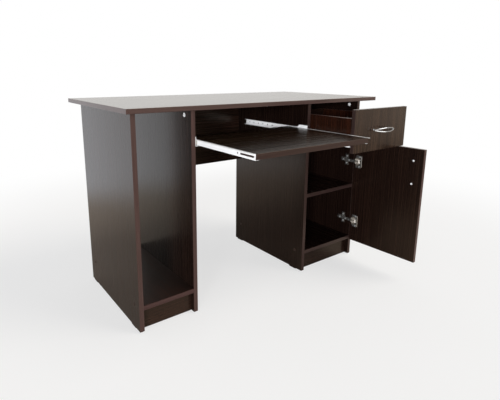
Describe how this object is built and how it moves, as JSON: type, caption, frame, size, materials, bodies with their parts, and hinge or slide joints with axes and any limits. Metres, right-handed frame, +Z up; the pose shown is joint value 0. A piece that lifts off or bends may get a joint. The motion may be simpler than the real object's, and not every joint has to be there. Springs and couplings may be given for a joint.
{
  "type": "computer desk",
  "caption": "Dark wood-grain computer desk with an open tower bay, a pull-out keyboard tray under the worktop, and a pedestal with a drawer above a shelved cupboard with a hinged door.",
  "frame": {"origin": "on the floor, at the middle of the rectangle that the desk covers with its tray out, drawer part open and door open", "axes": "+X along the worktop to the user's right, +Y towards the back, +Z up; the front faces -Y"},
  "size_m": [1.2, 0.9184, 0.75],
  "materials": {
    "wenge_board": "satin melamine with wenge grain",
    "hardboard": "dark lacquered hardboard",
    "beech": "raw beech",
    "white_steel": "white epoxy coat",
    "nylon": "satin",
    "chrome": "polished",
    "nickel": "nickel plated",
    "zinc": "zinc plated",
    "brown_plastic": "satin",
    "dark_plastic": "matt"
  },
  "bodies": {
    "carcass": {"worktop": "wenge_board", "bay_outer_side": "wenge_board", "bay_inner_side": "wenge_board", "pedestal_left_side": "wenge_board", "pedestal_right_side": "wenge_board", "bay_bottom": "wenge_board", "bay_plinth": "wenge_board", "pedestal_bottom": "wenge_board", "pedestal_plinth": "wenge_board", "pedestal_shelf": "wenge_board", "pedestal_back": "hardboard", "modesty_panel": "wenge_board", "tray_left_channel": "white_steel", "tray_right_channel": "white_steel", "drawer_left_channel": "white_steel", "drawer_right_channel": "white_steel", "channel_rivets": "zinc", "channel_screws": "zinc", "cam_locks": "zinc", "cam_bolts": "zinc", "wood_dowels": "beech", "connecting_screws": "zinc", "screw_caps": "brown_plastic", "floor_glides": "dark_plastic", "back_pins": "zinc", "hinge_plates": "nickel", "hinge_arms": "nickel", "hinge_mount_screws": "zinc"},
    "tray": {"keyboard_tray": "wenge_board", "tray_left_member": "white_steel", "tray_right_member": "white_steel", "tray_member_screws": "zinc", "tray_rivets": "zinc"},
    "tray_front_rollers": {"tray_front_rollers": "nylon"},
    "tray_rear_rollers": {"tray_rear_rollers": "nylon"},
    "drawer": {"drawer_front": "wenge_board", "drawer_left_side": "wenge_board", "drawer_right_side": "wenge_board", "drawer_back": "wenge_board", "drawer_base": "hardboard", "drawer_cam_locks": "zinc", "drawer_cam_bolts": "zinc", "drawer_connecting_screws": "zinc", "drawer_handle": "chrome", "drawer_handle_screws": "zinc", "drawer_left_member": "white_steel", "drawer_right_member": "white_steel", "drawer_member_screws": "zinc", "drawer_rivets": "zinc"},
    "drawer_front_rollers": {"drawer_front_rollers": "nylon"},
    "drawer_rear_rollers": {"drawer_rear_rollers": "nylon"},
    "door": {"door_panel": "wenge_board", "door_handle": "chrome", "door_handle_screws": "zinc", "hinge_cups": "nickel", "hinge_cup_screws": "zinc", "hinge_links": "nickel", "hinge_pins": "nickel"}
  },
  "joints": [
    {"name": "tray_slide", "type": "slide", "parent": "carcass", "child": "tray", "axis": [0, -1, 0], "range_m": [-0.302, 0]},
    {"name": "drawer_slide", "type": "slide", "parent": "carcass", "child": "drawer", "axis": [0, -1, 0], "range_m": [-0.21, 0.09]},
    {"name": "door_swing", "type": "hinge", "parent": "carcass", "child": "door", "pos_m": [0.4894, -0.14376, 0.3215], "axis": [0, 0, 1], "range_deg": [-92, 10]},
    {"name": "tray_front_roller_spin", "type": "hinge", "parent": "carcass", "child": "tray_front_rollers", "pos_m": [-0.094, -0.11576, 0.6247], "axis": [1, 0, 0], "range_deg": [-1970, 5]},
    {"name": "tray_rear_roller_spin", "type": "hinge", "parent": "tray", "child": "tray_rear_rollers", "pos_m": [-0.094, -0.04776, 0.6241], "axis": [1, 0, 0], "range_deg": [-1970, 5]},
    {"name": "drawer_front_roller_spin", "type": "hinge", "parent": "carcass", "child": "drawer_front_rollers", "pos_m": [0.336, -0.11576, 0.5897], "axis": [1, 0, 0], "range_deg": [-1370, 590]},
    {"name": "drawer_rear_roller_spin", "type": "hinge", "parent": "drawer", "child": "drawer_rear_rollers", "pos_m": [0.336, 0.04024, 0.5891], "axis": [1, 0, 0], "range_deg": [-1370, 590]}
  ],
  "couplings": [
    {"joint": "tray_front_roller_spin", "follows": "tray_slide", "rad_per_m": 113.64},
    {"joint": "tray_rear_roller_spin", "follows": "tray_slide", "rad_per_m": 113.64},
    {"joint": "drawer_front_roller_spin", "follows": "drawer_slide", "rad_per_m": 113.64},
    {"joint": "drawer_rear_roller_spin", "follows": "drawer_slide", "rad_per_m": 113.64}
  ]
}
